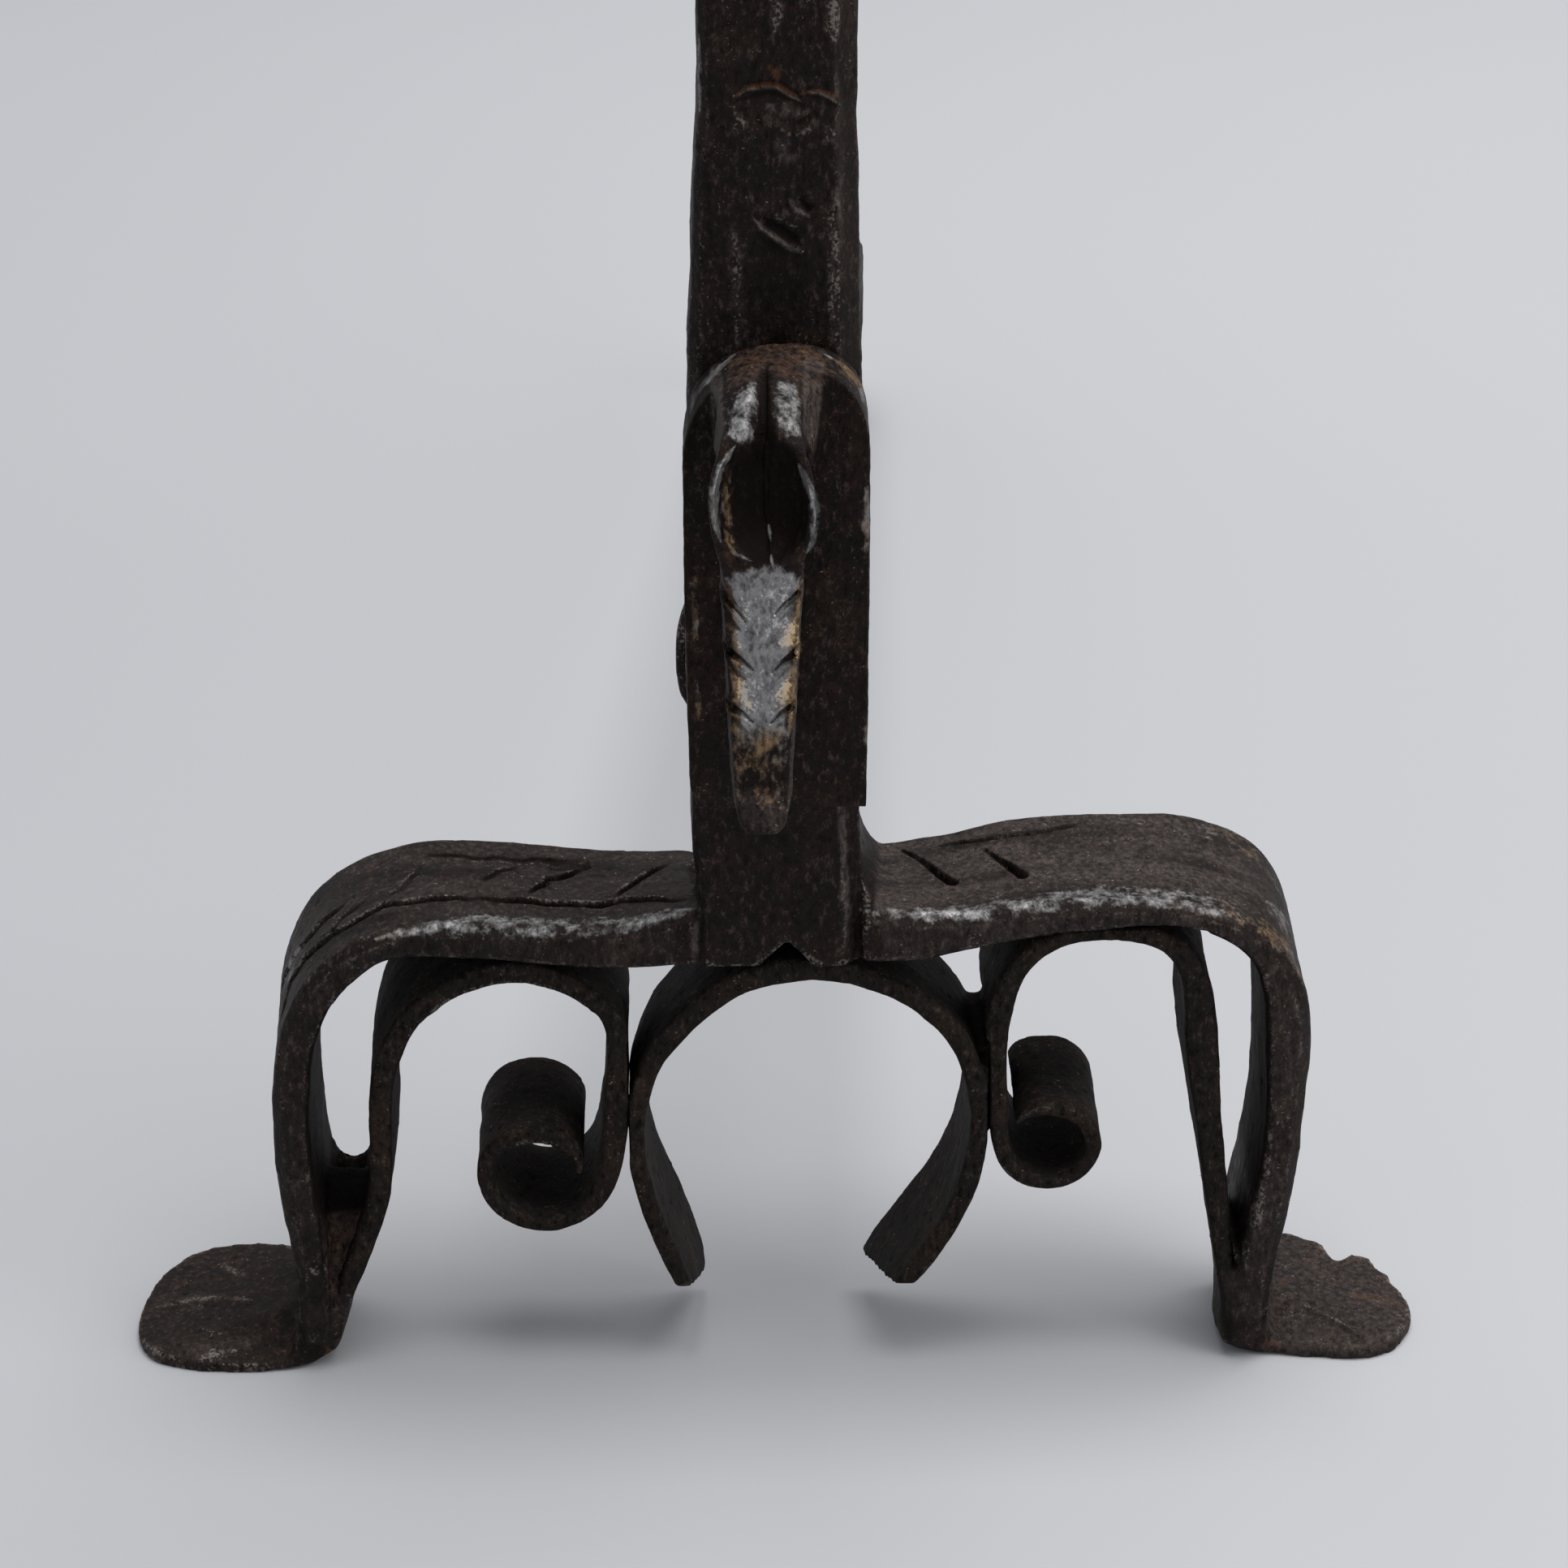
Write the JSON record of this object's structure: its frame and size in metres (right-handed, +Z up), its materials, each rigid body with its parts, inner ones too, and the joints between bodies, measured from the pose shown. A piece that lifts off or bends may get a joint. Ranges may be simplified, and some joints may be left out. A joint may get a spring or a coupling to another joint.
{
  "type": "andiron",
  "caption": "Hand-forged iron andiron: an upright split into legs on hammered feet, scroll straps and a horseshoe arch, a riveted spit hook, and a log bar running back to a rear foot.",
  "frame": {"origin": "on the hearth plane, under the middle of the front standard", "axes": "+Z up; the front with the spit hook faces -Y; +X to the right when seen from the front; the log bar runs to +Y"},
  "size_m": [0.3129, 0.6672, 0.472],
  "materials": {
    "forged_iron": "hand-forged, dark scale, satin",
    "strap_iron": "hand-forged strap, dark grey-brown",
    "worn_iron": "worn bright on the facets, brown in the hollows"
  },
  "bodies": {
    "root": {"upright": "forged_iron", "left_leg": "forged_iron", "right_leg": "forged_iron", "left_foot": "forged_iron", "right_foot": "forged_iron", "left_scroll": "strap_iron", "right_scroll": "strap_iron", "centre_arch": "strap_iron", "spit_hook": "worn_iron", "log_bar": "forged_iron", "rivets": "strap_iron"}
  },
  "joints": []
}
